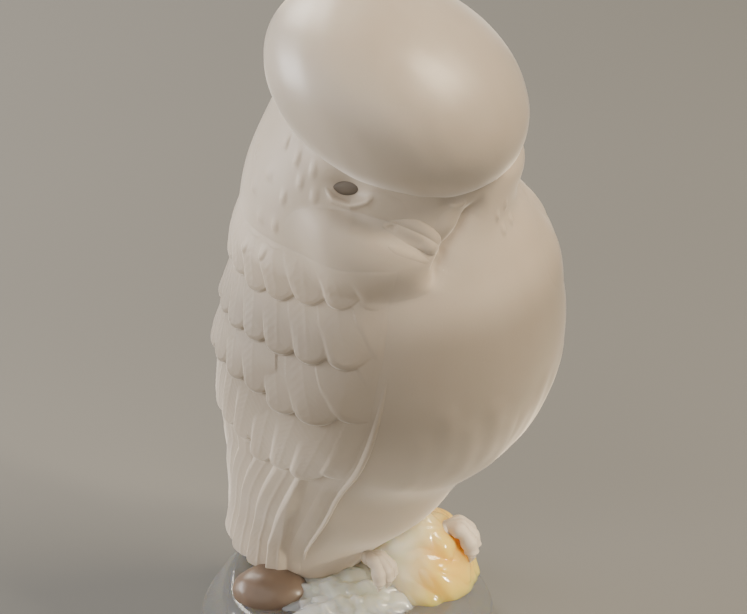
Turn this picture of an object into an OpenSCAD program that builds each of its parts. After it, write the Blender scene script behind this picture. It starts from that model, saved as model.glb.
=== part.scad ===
// Crystal bird figurine: a small parrot-like bird with a smooth domed crown,
// head bowed and turned to its right, perched on a glass rock over a flaring
// round plinth.  Millimetres.  Z is up, the plinth stands on Z = 0, the breast
// faces -Y and the bird's own right side is -X.

/* [Plinth] */
// radius of the vertical rim of the plinth
rim_radius = 28.4; // [26:0.1:36]
// height of the top of the vertical rim
rim_height = 7.0; // [4:0.5:11]
// radius of the flat seat that carries the rock
seat_radius = 21.6; // [18:0.2:26]
// height of the flat seat that carries the rock
seat_height = 14.6; // [13:0.2:17]

/* [Rock] */
// half width of the main mound
mound_radius = 21.0; // [16:0.5:24]
// height of the mound summit above the floor
mound_top = 19.5; // [19:0.5:26]
// height of the ripples worn into the mound
ripple_height = 0.7; // [0:0.1:1.5]
// half width of the amber boulder at the bird's left foot
boulder_radius = 12.0; // [7:0.5:14]
// height of the summit of the amber boulder
boulder_top = 28.6; // [24:0.2:32]
// half length of the smoky stone under the tail
stone_length = 7.4; // [5:0.2:10]

/* [Torso] */
// half width of the breast
breast_half_width = 29.3; // [24:0.1:34]
// half depth of the breast
breast_half_depth = 27.5; // [22:0.1:32]
// half height of the breast
breast_half_height = 33.0; // [28:0.1:38]
// height of the middle of the breast
breast_height = 73.8; // [66:0.1:80]
// half width of the back between the wings
back_half_width = 25.4; // [22:0.1:29]
// half width of the neck
neck_half_width = 24.2; // [18:0.1:28]
// lean of the breast away from vertical, degrees
breast_lean = 14; // [0:1:25]

/* [Crown] */
// half width of the domed crown
crown_half_width = 23.4; // [18:0.1:28]
// half length of the domed crown
crown_half_length = 23.6; // [18:0.1:28]
// half height of the domed crown
crown_half_height = 16.1; // [12:0.1:22]
// height of the middle of the crown
crown_height = 124.2; // [118:0.1:130]
// turn of the head towards the bird's right, degrees
head_turn = 32.5; // [0:0.5:45]
// forward bow of the crown, degrees
head_bow = 8.5; // [0:0.5:30]
// sideways tilt of the crown, degrees
head_tilt = 24.9; // [0:0.5:35]

/* [Face] */
// radius of each eye
eye_radius = 2.1; // [1:0.1:4]
// height of the eyes above the floor
eye_height = 112; // [108:0.1:114]
// angle between the middle of the face and each eye, degrees
eye_spread = 21.5; // [16:0.5:30]
// width of the beak where it leaves the face
beak_width = 7.4; // [5:0.2:10]

/* [Wings] */
// feathers across each row
feathers_across = 11; // [7:1:14]
// rows of small covert feathers
covert_rows = 4; // [2:1:4]
// height of the tips of the first covert row
first_row_height = 98.5; // [96:0.5:100]
// drop from the first covert row to the second, without the growth
row_drop = 6.9; // [5:0.1:8]
// height of the tips of the secondary feathers
secondary_tip = 51; // [46:0.5:55]
// height of the tips of the long primary feathers
primary_tip = 17.5; // [17:0.5:28]
// thickness of the wing under the feather relief
wing_thickness = 0.7; // [0.5:0.1:1.5]
// lift of each feather tip above the next row
tip_lift = 1.0; // [0.4:0.1:1.6]

/* [Tail and feet] */
// width of the tail at its root
tail_width = 15; // [10:0.5:20]
// height of the tail tip above the floor
tail_tip = 14.0; // [12:0.5:20]
// thickness of one toe
toe_thickness = 3.6; // [3:0.1:5]
// distance between the two feet
foot_spacing = 15; // [10:0.5:20]

/* [Hidden] */

// colours of the five glass finishes
satin = [0.80, 0.76, 0.70, 0.85];
clear = [0.90, 0.90, 0.86, 0.45];
amber = [0.95, 0.80, 0.48, 0.55];
smoke = [0.48, 0.39, 0.32, 0.70];
polished = [0.35, 0.32, 0.29, 0.75];

// masses that the torso is blended from: middle, half sizes, lean
middle_x = 1.2;
back_mid = [0, -1.8, 73.5];
back_half = [back_half_width, 22, 44];
back_lean = 14;
neck_mid = [0.8, -9.4, 107.5];
neck_half = [neck_half_width, 22.3, 24];
vent_mid = [2.5, -3.8, 45.5];
vent_half = [19.2, 17.2, 24];
vent_lean = 32;
breast_mid = [2.5, -12.2, breast_height];
breast_half = [breast_half_width, breast_half_depth, breast_half_height];
root_high = [1.5, 6.2, 51.5];
root_low = [0.8, 13.0, 21.5];
root_high_radius = 15.6;
root_low_radius = 12.6;
belly_root_high = [1.2, -1, 42];
belly_root_low = [-0.5, 7.0, 22.5];
belly_root_high_radius = 13;
belly_root_low_radius = 10;
nape_blend = 16;
soft_blend = 8;
breast_blend = 5;

crown_mid = [-3.5, -14.7, crown_height];
mound_mid = [0.5, 0.5];
mound_start = [-3, -5];
boulder_mid = [10.0, -10.0];
boulder_depth = 12.0;
stone_mid = [-13.5, 7.5, 16.0];
stone_half = [stone_length, 5.8, 4.8];
stone_turn = -50;

// the line inside the torso that the skin is measured out from
spine_low = [middle_x, 10, 26];
spine_high = [middle_x, -7.5, 100];
far = 48;
halvings = 13;
torso_rings = 24;
torso_sides = 48;
neck_rings = 5;
dish_rings = 5;
tail_rings = 4;
// the neck stops this far below the middle plane of the crown
brow_drop = 4;

// flank edge of the wing: starts here and sweeps back as it drops
wing_top = 101;
wing_front = 43;
wing_front_sweep = 15;
wing_sweep_span = 83;
wing_sweep_power = 3.5;
wing_back = 174;
// depth of the round tip of a feather
scallop = 2.6;
// each drop between rows is larger than the last by twice this
row_growth = 1.1;
// the last rows climb towards the flank by this much, over this share of the wing
row_climb = 6;
climb_share = 0.2;
// the long feathers spread by this share towards their tips
primary_spread = 0.7;
secondary_count = feathers_across + 1;
covert_cols = 44;
covert_steps = 16;
secondary_cols = 44;
secondary_steps = 6;
primary_cols = 36;
primary_steps = 10;
bedding = 0.15;

function clamp(x) = min(1, max(0, x));
function mix(a, b, t) = a + (b - a) * t;
function fraction(x) = x - floor(x);
function round_up(t) = sqrt(max(0, 1 - pow(2 * t - 1, 2)));

// signed distance from an ellipsoid leaning by an angle about X
function mass(p, mid, half, lean) =
  let (q = p - mid,
    y = q[1] * cos(lean) + q[2] * sin(lean),
    z = -q[1] * sin(lean) + q[2] * cos(lean),
    near = norm([q[0] / half[0], y / half[1], z / half[2]]),
    steep = norm([q[0] / pow(half[0], 2), y / pow(half[1], 2), z / pow(half[2], 2)]))
  near * (near - 1) / max(steep, 0.000001);

// signed distance from a round-ended taper between two points
function taper(p, a, b, ra, rb) =
  let (d = b - a, t = clamp(((p - a) * d) / (d * d)))
  norm(p - a - d * t) - mix(ra, rb, t);

function blend(a, b, k) =
  let (h = clamp(0.5 + 0.5 * (b - a) / k))
  mix(b, a, h) - k * h * (1 - h);

function body(p) =
  let (back = mass(p, back_mid, back_half, back_lean),
    nape = blend(back, mass(p, neck_mid, neck_half, 0), nape_blend),
    vent = blend(nape, mass(p, vent_mid, vent_half, vent_lean), soft_blend),
    root = blend(vent, taper(p, root_high, root_low, root_high_radius, root_low_radius), soft_blend),
    belly_root = blend(root, taper(p, belly_root_high, belly_root_low, belly_root_high_radius,
      belly_root_low_radius), breast_blend))
  blend(belly_root, mass(p, breast_mid, breast_half, breast_lean), breast_blend);

// the crown ellipsoid, measured in its own turned and tilted axes
function turn_z(q, a) = [q[0] * cos(a) + q[1] * sin(a), -q[0] * sin(a) + q[1] * cos(a), q[2]];
function turn_x(q, a) = [q[0], q[1] * cos(a) + q[2] * sin(a), -q[1] * sin(a) + q[2] * cos(a)];
function turn_y(q, a) = [q[0] * cos(a) - q[2] * sin(a), q[1], q[0] * sin(a) + q[2] * cos(a)];
function crown_local(p) = turn_y(turn_x(turn_z(p - crown_mid, -head_turn), head_bow), head_tilt);
function crown_field(p) = let (q = crown_local(p))
  norm([q[0] / crown_half_width, q[1] / crown_half_length, q[2] / crown_half_height]) - 1;

function ripple(p) = ripple_height * (sin(p[0] * 23 + p[1] * 9) * sin(p[1] * 19 + 40)
  + 0.6 * sin(p[0] * 41 + p[2] * 30) * sin(p[1] * 37 - p[2] * 21));
function mound(p) = mass(p, [mound_mid[0], mound_mid[1], seat_height - 6],
  [mound_radius, mound_radius, mound_top - seat_height + 6], 0) + ripple(p);
function boulder(p) = mass(p, [boulder_mid[0], boulder_mid[1], seat_height - 3],
  [boulder_radius, boulder_depth, boulder_top - seat_height + 3], 0) + 0.5 * ripple(p * 1.2);

// what each grown solid is bounded by: inside is negative
function bound(kind, p) =
  kind == "neck" ? max(body(p), crown_local(p)[2] + brow_drop)
  : kind == "dish" ? -crown_field(p)
  : kind == "mound" ? max(mound(p), -body(p), -boulder(p))
  : kind == "boulder" ? max(boulder(p), -body(p))
  : body(p);

// distance from a start point along a direction to the boundary
function reach(kind, from, way, low, high, left) =
  left == 0 ? (low + high) / 2
  : let (half = (low + high) / 2)
    bound(kind, from + way * half) < 0
    ? reach(kind, from, way, half, high, left - 1)
    : reach(kind, from, way, low, half, left - 1);
function skin(kind, from, way) = from + way * reach(kind, from, way, 0, far, halvings);

function way_of(turn, climb) = [-sin(turn) * cos(climb), -cos(turn) * cos(climb), sin(climb)];

// climb at which the skin of the neck meets the crown, on one side of the spine
function neck_rim(turn, outside, inside, left) =
  left == 0 ? outside
  : let (half = (outside + inside) / 2)
    crown_field(skin("neck", spine_high, way_of(turn, half))) > 0
    ? neck_rim(turn, half, inside, left - 1)
    : neck_rim(turn, outside, half, left - 1);
// climb at which the skin under the tail root meets the level of the rock seat
function seat_rim(turn, above, below, left) =
  left == 0 ? above
  : let (half = (above + below) / 2)
    skin("body", spine_low, way_of(turn, half))[2] > seat_height
    ? seat_rim(turn, half, below, left - 1)
    : seat_rim(turn, above, half, left - 1);

// closed solid from rings of points between two poles
module wrap(low_pole, rings, high_pole) {
  n = len(rings[0]);
  m = len(rings);
  points = concat([low_pole], [for (r = rings) for (p = r) p], [high_pole]);
  faces = concat(
    [for (i = [0:n - 1]) [0, 1 + i, 1 + (i + 1) % n]],
    [for (j = [0:m - 2]) for (i = [0:n - 1])
      let (a = 1 + j * n + i, b = 1 + j * n + (i + 1) % n) [a, a + n, b]],
    [for (j = [0:m - 2]) for (i = [0:n - 1])
      let (a = 1 + j * n + i, b = 1 + j * n + (i + 1) % n) [b, a + n, b + n]],
    [for (i = [0:n - 1]) [1 + (m - 1) * n + i, m * n + 1, 1 + (m - 1) * n + (i + 1) % n]]);
  polyhedron(points, faces, convexity = 6);
}

// closed solid from an outer grid and an inner grid of the same size
module shell(outer, inner, flip) {
  m = len(outer);
  n = len(outer[0]);
  k = m * n;
  points = concat([for (r = outer) for (p = r) p], [for (r = inner) for (p = r) p]);
  top = [for (j = [0:m - 2]) for (i = [0:n - 2]) let (a = j * n + i)
    each [[a, a + 1, a + n], [a + 1, a + n + 1, a + n]]];
  bottom = [for (f = top) [f[0] + k, f[2] + k, f[1] + k]];
  front = [for (i = [0:n - 2]) each [[i + 1, i, i + k], [i + 1, i + k, i + 1 + k]]];
  last = (m - 1) * n;
  rear = [for (i = [0:n - 2]) let (a = last + i)
    each [[a, a + 1, a + k], [a + 1, a + 1 + k, a + k]]];
  near = [for (j = [0:m - 2]) let (a = j * n) each [[a, a + n, a + k], [a + n, a + n + k, a + k]]];
  away = [for (j = [0:m - 2]) let (a = j * n + n - 1)
    each [[a + n, a, a + k], [a + n, a + k, a + n + k]]];
  all = concat(top, bottom, front, rear, near, away);
  faces = flip ? [for (f = all) [f[0], f[2], f[1]]] : all;
  polyhedron(points, faces, convexity = 6);
}

// ---- wings -------------------------------------------------------------

// turn of the wing's flank edge at a height
function front_edge(z) = wing_front + wing_front_sweep
  * pow(clamp((wing_top - z) / wing_sweep_span), wing_sweep_power);
function wing_turn(u, z) = mix(front_edge(z), wing_back, u);
// tip line of a row of feathers: lowest in the middle of every feather
function tip_line(height, count, shift, u) =
  height + scallop * pow(2 * fraction(u * count + shift) - 1, 2);
function row_height(i, u) = first_row_height - row_drop * i - row_growth * i * i
  + row_climb * i / covert_rows * pow(clamp(1 - u / climb_share), 2);
function row_shift(i) = ((i + 1) % 2) / 2;
function row_tips(i, u) = tip_line(row_height(i, u), feathers_across, row_shift(i), u);
function covert_edge(u) = row_tips(covert_rows - 1, u);
function secondary_edge(u) = tip_line(secondary_tip + row_climb * pow(clamp(1 - u / climb_share), 2),
  secondary_count, 0, u);
function spread_u(u, v) = u / (1 + primary_spread * v);
function primary_edge(u) = tip_line(primary_tip, feathers_across, 0.5, spread_u(u, 1));
// the row a point lies in, counted from the shoulder
function row_of(u, z) = let (hits = [for (i = [0:covert_rows - 1]) if (z >= row_tips(i, u) - 0.01) i])
  len(hits) > 0 ? hits[0] : covert_rows - 1;
function hump(u, count, shift) = 1 - 0.45 * pow(2 * fraction(u * count + shift) - 1, 2);

function part_high(part, u) = part == "coverts" ? wing_top
  : part == "secondaries" ? covert_edge(u) : secondary_edge(u);
function part_low(part, u) = part == "coverts" ? covert_edge(u)
  : part == "secondaries" ? secondary_edge(u) : primary_edge(u);
function covert_lift(u, z) =
  let (i = row_of(u, z), low = row_tips(i, u),
    high = i == 0 ? wing_top : row_tips(i - 1, u),
    t = clamp((high - z) / max(high - low, 0.1)))
  tip_lift * (0.35 + 0.65 * t) * hump(u, feathers_across, row_shift(i));
function part_lift(part, u, v, z) = part == "coverts" ? covert_lift(u, z)
  : part == "secondaries" ? tip_lift * (0.25 + 0.6 * v) * hump(u, secondary_count, 0)
  : tip_lift * (0.2 + 0.6 * v) * hump(spread_u(u, v), feathers_across, 0.5);

// point on the torso skin at a turn and height, pushed out along the ray
function on_torso(turn, z, out) =
  let (t = clamp((z - spine_low[2]) / (spine_high[2] - spine_low[2])),
    s = mix(spine_low, spine_high, t),
    from = [s[0], s[1], z],
    way = way_of(turn, 0))
  from + way * (reach("body", from, way, 0, far, halvings) + out);

// the wing thins to the torso at the shoulder and along the back
function edge_fade(part, u, v) = (part == "coverts" ? sqrt(clamp(v * 5)) : 1) * sqrt(clamp((1 - u) * 12));
function wing_grid(part, side, cols, steps, outer) =
  [for (j = [0:steps]) [for (i = [0:cols])
    let (u = i / cols, v = j / steps,
      z = mix(part_high(part, u), part_low(part, u), v),
      lift = wing_thickness + part_lift(part, u, v, z),
      out = outer ? 0.15 + lift * edge_fade(part, u, v) : -bedding)
    on_torso(side * wing_turn(u, z), z, out)]];

module wing_part(part, side, cols, steps) {
  shell(wing_grid(part, side, cols, steps, true), wing_grid(part, side, cols, steps, false), side < 0);
}

module coverts_right() { color(satin) wing_part("coverts", 1, covert_cols, covert_steps); }
module coverts_left() { color(satin) wing_part("coverts", -1, covert_cols, covert_steps); }
module secondaries_right() { color(satin) wing_part("secondaries", 1, secondary_cols, secondary_steps); }
module secondaries_left() { color(satin) wing_part("secondaries", -1, secondary_cols, secondary_steps); }
module primaries_right() { color(satin) wing_part("primaries", 1, primary_cols, primary_steps); }
module primaries_left() { color(satin) wing_part("primaries", -1, primary_cols, primary_steps); }

// ---- ridges, folds and face: raised patches of the torso skin ------------

ridge_high = 84;
ridge_low = 22;
ridge_width = 3.0;
ridge_rise = 1.5;
ridge_steps = 26;
ridge_cols = 4;
function ridge_point(side, i, j, outer) =
  let (v = j / ridge_steps, u = i / ridge_cols, z = mix(ridge_high, ridge_low, v),
    rise = ridge_rise * round_up(u) * sqrt(clamp(v * 6)))
  on_torso(side * (front_edge(z) - ridge_width * 2 * (1 - u)), z, outer ? 0.1 + rise : -bedding);
module flank_ridge(side) {
  outer = [for (j = [0:ridge_steps]) [for (i = [0:ridge_cols]) ridge_point(side, i, j, true)]];
  inner = [for (j = [0:ridge_steps]) [for (i = [0:ridge_cols]) ridge_point(side, i, j, false)]];
  shell(outer, inner, side < 0);
}
module flank_ridge_right() { color(satin) flank_ridge(1); }
module flank_ridge_left() { color(satin) flank_ridge(-1); }

// a raised pad with an oval edge on the torso skin: middle, half sizes, rise,
// and a climb in height across its width
pad_sides = 28;
pad_rings = 5;
function pad_point(mid, half, rise, climb, side, phi, rho, outer) =
  let (across = rho * cos(phi), up = rho * sin(phi),
    turn = mid[0] + half[0] * across,
    z = mid[1] + half[1] * up + climb * across,
    lift = outer ? 0.15 + rise * sqrt(max(0, 1 - rho * rho)) : -bedding)
  on_torso(side * turn, z, lift);
module pad(mid, half, rise, climb, side) {
  outer = [for (j = [1:pad_rings]) [for (i = [0:pad_sides - 1])
    pad_point(mid, half, rise, climb, side, -side * 360 * i / pad_sides, sin(90 * j / pad_rings), true)]];
  inner = [for (j = [0:pad_rings - 1]) [for (i = [0:pad_sides - 1])
    pad_point(mid, half, rise, climb, side, -side * 360 * i / pad_sides,
      sin(90 * (pad_rings - j) / pad_rings), false)]];
  wrap(pad_point(mid, half, rise, climb, side, 0, 0, true), concat(outer, inner),
    pad_point(mid, half, rise, climb, side, 0, 0, false));
}

// the rolled feather fold over each shoulder, under the cheek
fold_mid = [57, 101];
fold_half = [29, 7];
fold_rise = 2.4;
fold_climb = 3;
module shoulder_right() { color(satin) pad(fold_mid, fold_half, fold_rise, fold_climb, 1); }
module shoulder_left() { color(satin) pad(fold_mid, fold_half, fold_rise, fold_climb, -1); }

// the cheeks on either side of the beak
cheek_right_mid = [54, 109];
cheek_right_half = [11, 3.6];
cheek_left_mid = [21.5, 105.2];
cheek_left_half = [8, 4];
cheek_rise = 1.2;
module cheek_right() { color(satin) pad(cheek_right_mid, cheek_right_half, cheek_rise, 0, 1); }
module cheek_left() { color(satin) pad(cheek_left_mid, cheek_left_half, cheek_rise, 0, 1); }

// ---- torso and crown -----------------------------------------------------

turns = [for (i = [0:torso_sides - 1]) 360 * i / torso_sides];
module torso() {
  neck_rims = [for (turn = turns) neck_rim(turn, 0, 80, halvings)];
  seat_rims = [for (turn = turns) seat_rim(turn, 0, -89, halvings)];
  under = [for (j = [0:tail_rings - 1]) [for (i = [0:torso_sides - 1])
    skin("body", spine_low, way_of(turns[i], seat_rims[i] * (1 - j / tail_rings)))]];
  trunk = [for (j = [0:torso_rings]) let (from = mix(spine_low, spine_high, j / torso_rings))
    [for (turn = turns) skin("body", from, way_of(turn, 0))]];
  neck = [for (j = [1:neck_rings]) [for (i = [0:torso_sides - 1])
    skin("neck", spine_high, way_of(turns[i], neck_rims[i] * j / neck_rings))]];
  dish = [for (j = [1:dish_rings - 1]) [for (i = [0:torso_sides - 1])
    skin("dish", spine_high, way_of(turns[i], mix(neck_rims[i], 90, j / dish_rings)))]];
  color(satin) wrap([spine_low[0], spine_low[1], seat_height], concat(under, trunk, neck, dish),
    skin("dish", spine_high, [0, 0, 1]));
}

module crown() {
  color(satin) translate(crown_mid) rotate([0, 0, -head_turn]) rotate([head_bow, 0, 0])
    rotate([0, head_tilt, 0]) scale([crown_half_width, crown_half_length, crown_half_height])
    sphere(r = 1, $fn = 96);
}

// ---- beak and eyes ---------------------------------------------------------

// tapering solid swept along a curve: middles and half sizes from rules
module sweep(middles, halves, sides) {
  n = len(middles) - 1;
  rings = [for (j = [0:n])
    let (ahead = middles[min(n, j + 1)] - middles[max(0, j - 1)],
      along = ahead / norm(ahead),
      side_raw = cross(along, [0, 0, 1]),
      wide = side_raw / norm(side_raw),
      deep = cross(wide, along))
    [for (i = [0:sides - 1]) let (a = 360 * i / sides)
      middles[j] + wide * cos(a) * halves[j][0] + deep * sin(a) * halves[j][1]]];
  wrap(middles[0], rings, middles[n]);
}

beak_steps = 10;
beak_sides = 18;
// the beak follows the face down from its root to its tip, tucked to one side
beak_root = [45, 108.2];
beak_tip = [28, 101.2];
beak_out = 2.0;
chin_root = [46, 105.4];
chin_tip = [33, 99.8];
chin_out = 1.0;
// width and depth of each half of the beak, as shares of the beak's width
beak_upper_shares = [0.5, 0.4];
beak_lower_shares = [0.3, 0.27];
// the beak stands out from the face in an arch, low at its root
function beak_spot(root, tip, out, t) = on_torso(mix(root[0], tip[0], t), mix(root[1], tip[1], t),
  out * (0.25 + 0.75 * sin(162 * pow(t, 0.8))));
function beak_halves(shares) = [for (j = [0:beak_steps])
  beak_width * shares * sqrt(1.04 - pow(j / beak_steps, 2))];
module beak_half(root, tip, out, shares) {
  middles = [for (j = [0:beak_steps]) beak_spot(root, tip, out, j / beak_steps)];
  sweep(middles, beak_halves(shares), beak_sides);
}
module beak_upper() { color(satin) beak_half(beak_root, beak_tip, beak_out, beak_upper_shares); }
module beak_lower() { color(satin) beak_half(chin_root, chin_tip, chin_out, beak_lower_shares); }

// the eyes lie in the torso skin under the brow, the right one higher
face_turn = 42.5;
eye_rise = 1.4;
eye_out = -0.6;
ring_out = -0.3;
ring_gap = 0.7;
ring_thickness = 0.75;
function eye_turn(side) = face_turn + side * eye_spread;
function eye_spot(side, out) = on_torso(eye_turn(side), eye_height + side * eye_rise, out);
module eye(side) { translate(eye_spot(side, eye_out)) sphere(r = eye_radius, $fn = 36); }
module eye_ring(side) {
  translate(eye_spot(side, ring_out)) rotate([90, 0, -eye_turn(side)]) rotate_extrude($fn = 48)
    translate([eye_radius + ring_gap, 0]) circle(r = ring_thickness, $fn = 20);
}
module eye_right() { color(polished) eye(1); }
module eye_left() { color(polished) eye(-1); }
module eye_ring_right() { color(satin) eye_ring(1); }
module eye_ring_left() { color(satin) eye_ring(-1); }

// ---- tail and feet ----------------------------------------------------------

tail_steps = 14;
tail_sides = 28;
tail_high = [1.5, 20.5, 44];
tail_end = [1.5, 26.0, tail_tip];
module tail() {
  rings = [for (j = [0:tail_steps]) let (t = j / tail_steps,
      mid = mix(tail_high, tail_end, t),
      wide = tail_width / 2 * mix(1, 0.62, pow(t, 1.5)) * (t > 0.95 ? 0.8 : 1),
      thick = mix(3.4, 1.6, t))
    [for (i = [0:tail_sides - 1]) let (a = -360 * i / tail_sides,
        ridge = 1 + 0.12 * cos(a * 7))
      mid + [wide * cos(a), thick * sin(a) * ridge, 0]]];
  color(satin) wrap(tail_high + [0, 0, 1.2], rings, tail_end - [0, 0, 1.2]);
}

toe_radius = toe_thickness / 2;
knuckle_radius = toe_radius * 1.04;
claw_radius = toe_radius * 0.8;
claw_end = 0.5;
claw_length = 4.6;
claw_hook = 168;
toe_arc = 5.6;
toe_curl = 95;
toe_spread = [-24, 4, 32];
toe_reach = 3.0;
foot_y = -8.5;
foot_z = 26.2;
// a toe curls over the rock from the ankle, then ends in a claw
module toe() {
  rotate([90, 0, -90]) rotate_extrude(angle = toe_curl, $fn = 40)
    translate([toe_arc, 0]) circle(r = toe_radius, $fn = 24);
  translate([0, -toe_arc, 0]) {
    sphere(r = knuckle_radius, $fn = 24);
    rotate([claw_hook, 0, 0]) cylinder(r1 = claw_radius, r2 = claw_end, h = claw_length, $fn = 24);
  }
}
module foot(side) {
  for (a = toe_spread) translate([side * foot_spacing / 2 + middle_x, foot_y, foot_z - toe_arc])
    rotate([0, 0, a * -side]) translate([0, -toe_reach, 0]) toe();
}
module foot_right() { color(clear) foot(-1); }
module foot_left() { color(clear) foot(1); }

// ---- rock and plinth ----------------------------------------------------------

rock_sides = 36;
rock_rings = 12;
module grown_rock(kind, mid, sides, count) {
  from = [mid[0], mid[1], seat_height];
  rings = [for (j = [0:count - 1]) [for (i = [0:sides - 1])
    skin(kind, from, way_of(360 * i / sides, 90 * j / count))]];
  wrap(from, rings, skin(kind, from, [0, 0, 1]));
}
module rock_mound() { color(clear) grown_rock("mound", mound_start, rock_sides, rock_rings); }
module rock_boulder() { color(amber) grown_rock("boulder", boulder_mid, rock_sides, rock_rings); }
module tail_stone() {
  color(smoke) translate(stone_mid) rotate([0, 0, stone_turn]) scale(stone_half) sphere(r = 1, $fn = 48);
}

rim_bevel = 1.0;
flare_steps = 8;
function flare_point(t) = [mix(rim_radius, seat_radius, t), mix(rim_height, seat_height, sin(90 * t))];
module plinth() {
  color(clear) rotate_extrude($fn = 120) polygon(concat(
    [[0, 0], [rim_radius - rim_bevel, 0], [rim_radius, rim_bevel], [rim_radius, rim_height]],
    [for (i = [1:flare_steps]) flare_point(i / flare_steps)], [[0, seat_height]]));
}

plinth();
rock_mound();
rock_boulder();
tail_stone();
torso();
crown();
cheek_right();
cheek_left();
beak_upper();
beak_lower();
eye_right();
eye_left();
eye_ring_right();
eye_ring_left();
shoulder_right();
shoulder_left();
coverts_right();
coverts_left();
secondaries_right();
secondaries_left();
primaries_right();
primaries_left();
flank_ridge_right();
flank_ridge_left();
tail();
foot_right();
foot_left();
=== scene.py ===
import math

import bpy
import numpy as np
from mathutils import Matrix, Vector


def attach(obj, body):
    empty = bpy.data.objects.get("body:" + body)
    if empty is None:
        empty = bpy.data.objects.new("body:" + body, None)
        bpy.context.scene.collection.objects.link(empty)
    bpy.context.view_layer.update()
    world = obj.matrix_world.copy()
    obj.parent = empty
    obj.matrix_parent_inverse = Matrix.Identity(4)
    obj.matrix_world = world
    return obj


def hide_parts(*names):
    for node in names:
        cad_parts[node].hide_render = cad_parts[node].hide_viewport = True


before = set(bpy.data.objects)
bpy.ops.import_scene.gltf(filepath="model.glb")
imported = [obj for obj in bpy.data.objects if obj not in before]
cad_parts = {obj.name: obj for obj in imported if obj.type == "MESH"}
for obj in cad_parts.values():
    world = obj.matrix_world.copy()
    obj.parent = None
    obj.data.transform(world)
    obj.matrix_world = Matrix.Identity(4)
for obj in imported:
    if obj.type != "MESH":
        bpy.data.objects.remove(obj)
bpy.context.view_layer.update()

# ----------------------------------------
# A perched bird of satin crystal on a clear rock.  Its forms are worked out
# in millimetres, in the frame of the CAD model, and every piece is written
# to Blender in metres.  A place on the bird's skin is a turn in degrees,
# from the breast towards the bird's right, and a height.
# ----------------------------------------
MM = 0.001
BODY = "root"
SATIN = "satin_crystal"
CLEAR = "clear_crystal"
AMBER = "amber_crystal"
SMOKY = "smoky_crystal"
EYE = "eye_crystal"

SEAT_HEIGHT = 14.6
SEAT_RADIUS = 21.6
RIM_RADIUS = 28.4
RIM_HEIGHT = 7.0
RIM_BEAD = 1.0
SHOULDER_BEAD = 0.8
SHOULDER_TURN = 70
HEAD_TURN = 32.5
HEAD_BOW = 8.5
HEAD_TILT = 24.9
CROWN_MID = np.array([-3.5, -14.7, 124.2])
CROWN_HALF = np.array([23.4, 23.6, 16.1])
BROW_DROP = 4.0

# the body's masses: a middle, half sizes and a lean, or two ends and their radii
BREAST = ((2.5, -12.2, 73.8), (29.3, 27.5, 33.0), 14)
BACK = ((0, -1.8, 73.5), (25.4, 22, 44), 14)
NAPE = ((0.8, -9.4, 107.5), (24.2, 22.3, 24))
VENT = ((2.5, -3.8, 45.5), (19.2, 17.2, 24), 32)
TAIL_ROOT = ((1.5, 6.2, 51.5), (0.8, 13.0, 21.5), 15.6, 12.6)
BELLY_ROOT = ((1.2, -1.0, 42.0), (-0.5, 7.0, 22.5), 13.0, 10.0)

# how softly the masses run into each other
NAPE_BLEND = 16
TAIL_BLEND = 8
BREAST_BLEND = 5
CROWN_BLEND = 2.0

# the spine is the line that rays leave from, to find the skin
SPINE_LOW = np.array([1.2, 10.0, 26.0])
SPINE_HIGH = np.array([1.2, -7.5, 100.0])
RAY_LENGTH = 48.0
HALVINGS = 20
SIDES = {"right": 1, "left": -1}


# ---- rules for numbers and distance fields ----
def clamp(x):
    return np.clip(x, 0.0, 1.0)


def mix(a, b, t):
    return a + (b - a) * t


def smooth(t):
    t = clamp(t)
    return t * t * (3.0 - 2.0 * t)


def scatter(k, seed):
    """A repeatable value between -1 and 1 for each whole number."""
    wave = np.sin(k * 12.9898 + seed * 78.233) * 43758.5453
    return 2.0 * (wave - np.floor(wave)) - 1.0


def wobble(p, size, seed=0.0):
    """Smooth repeatable unevenness between -1 and 1."""
    x, y, z = (p[..., i] / size + seed for i in range(3))
    a = np.sin(1.7 * x + 2.1 * y + 0.6) * np.sin(2.3 * z - 1.3 * x + 1.1)
    b = np.sin(3.1 * y - 2.2 * z + 2.0) * np.sin(2.9 * x + 1.9 * z)
    c = np.sin(5.3 * x + 4.1 * z - 1.0) * np.sin(4.7 * y + 0.3)
    return 0.5 * a + 0.33 * b + 0.17 * c


def blend(a, b, k):
    """Smooth union of two distance fields."""
    h = clamp(0.5 + 0.5 * (b - a) / k)
    return mix(b, a, h) - k * h * (1.0 - h)


def mass(p, mid, half, lean=0.0):
    """Distance field of an ellipsoid that leans by an angle about X."""
    q = p - np.array(mid)
    c, s = math.cos(math.radians(lean)), math.sin(math.radians(lean))
    q = np.stack([q[..., 0], q[..., 1] * c + q[..., 2] * s, -q[..., 1] * s + q[..., 2] * c], -1)
    half = np.array(half)
    near = np.linalg.norm(q / half, axis=-1)
    steep = np.linalg.norm(q / half ** 2, axis=-1)
    return near * (near - 1.0) / np.maximum(steep, 1e-6)


def taper(p, a, b, ra, rb):
    """Distance field of a round-ended taper between two points."""
    a, d = np.array(a), np.array(b) - np.array(a)
    t = clamp(((p - a) @ d) / (d @ d))
    return np.linalg.norm(p - a - t[..., None] * d, axis=-1) - mix(ra, rb, t)


def body(p):
    """The torso, without its feathers."""
    nape = blend(mass(p, *BACK), mass(p, *NAPE), NAPE_BLEND)
    vent = blend(nape, mass(p, *VENT), TAIL_BLEND)
    tail_root = blend(vent, taper(p, *TAIL_ROOT), TAIL_BLEND)
    belly_root = blend(tail_root, taper(p, *BELLY_ROOT), BREAST_BLEND)
    return blend(belly_root, mass(p, *BREAST), BREAST_BLEND)


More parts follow.
